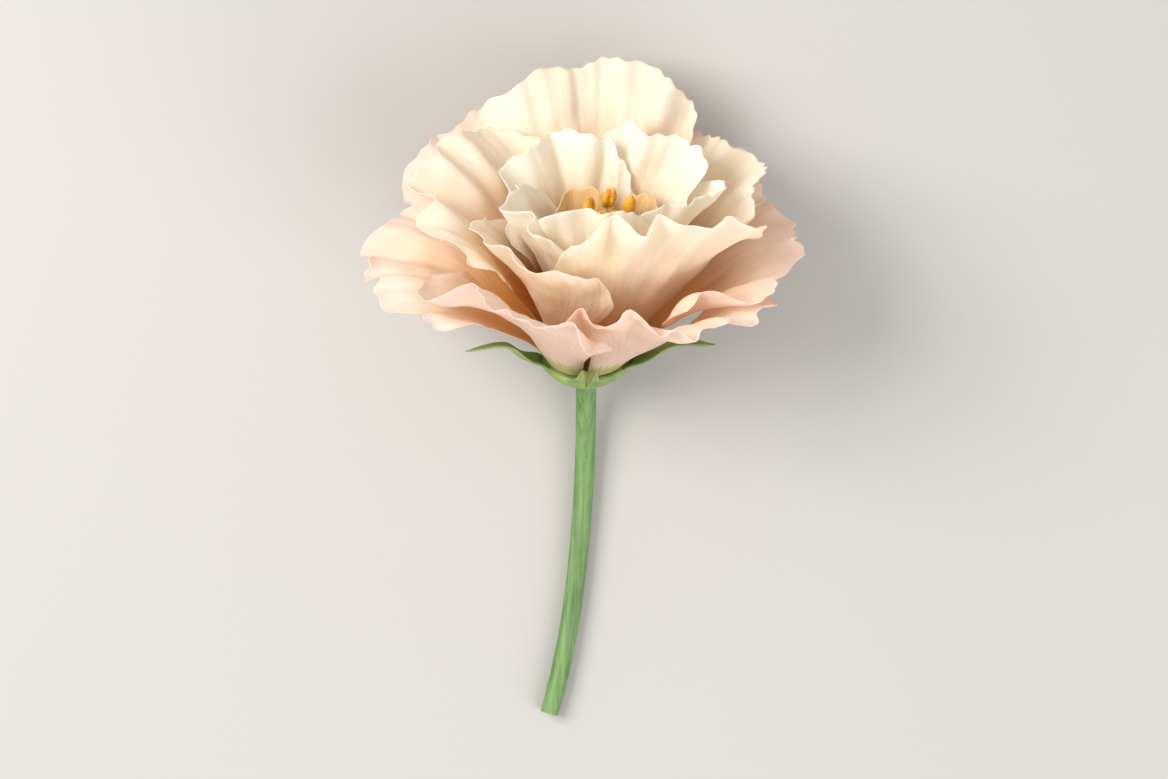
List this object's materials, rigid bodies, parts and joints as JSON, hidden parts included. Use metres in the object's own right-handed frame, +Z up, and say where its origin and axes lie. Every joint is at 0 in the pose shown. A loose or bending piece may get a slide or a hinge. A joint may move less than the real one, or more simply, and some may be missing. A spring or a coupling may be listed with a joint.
{
  "type": "lisianthus flower",
  "caption": "Double lisianthus bloom, ruffled cream petals in nested layers round golden stamens, on a green calyx and its own cut stalk, lying down.",
  "frame": {"origin": "the middle of the flower's footprint, on the surface that it lies on", "axes": "+Z up; +Y from the cut end of the stalk towards the bloom, which faces up and along +Y; +X to the right of that"},
  "size_m": [0.0682, 0.1042, 0.0517],
  "materials": {
    "heart_petals": "matt, cream, amber at the base",
    "inner_petals": "matt, cream, amber at the base",
    "middle_petals": "matt, cream, blush towards the rim",
    "outer_petals": "matt, blush with a pinker rim",
    "stamens": "matt, golden pollen",
    "pistil": "satin, yellow-green",
    "calyx": "satin, green",
    "stalk": "satin, green with a pale bloom"
  },
  "bodies": {
    "root": {"heart_petal_1": "heart_petals", "heart_petal_2": "heart_petals", "heart_petal_3": "heart_petals", "heart_petal_4": "heart_petals", "inner_petal_1": "inner_petals", "inner_petal_2": "inner_petals", "inner_petal_3": "inner_petals", "inner_petal_4": "inner_petals", "inner_petal_5": "inner_petals", "middle_petal_1": "middle_petals", "middle_petal_2": "middle_petals", "middle_petal_3": "middle_petals", "middle_petal_4": "middle_petals", "middle_petal_5": "middle_petals", "outer_petal_1": "outer_petals", "outer_petal_2": "outer_petals", "outer_petal_3": "outer_petals", "outer_petal_4": "outer_petals", "outer_petal_5": "outer_petals", "outer_petal_6": "outer_petals", "stamen_1": "stamens", "stamen_2": "stamens", "stamen_3": "stamens", "stamen_4": "stamens", "stamen_5": "stamens", "pistil": "pistil", "calyx": "calyx", "stalk": "stalk"}
  },
  "joints": []
}
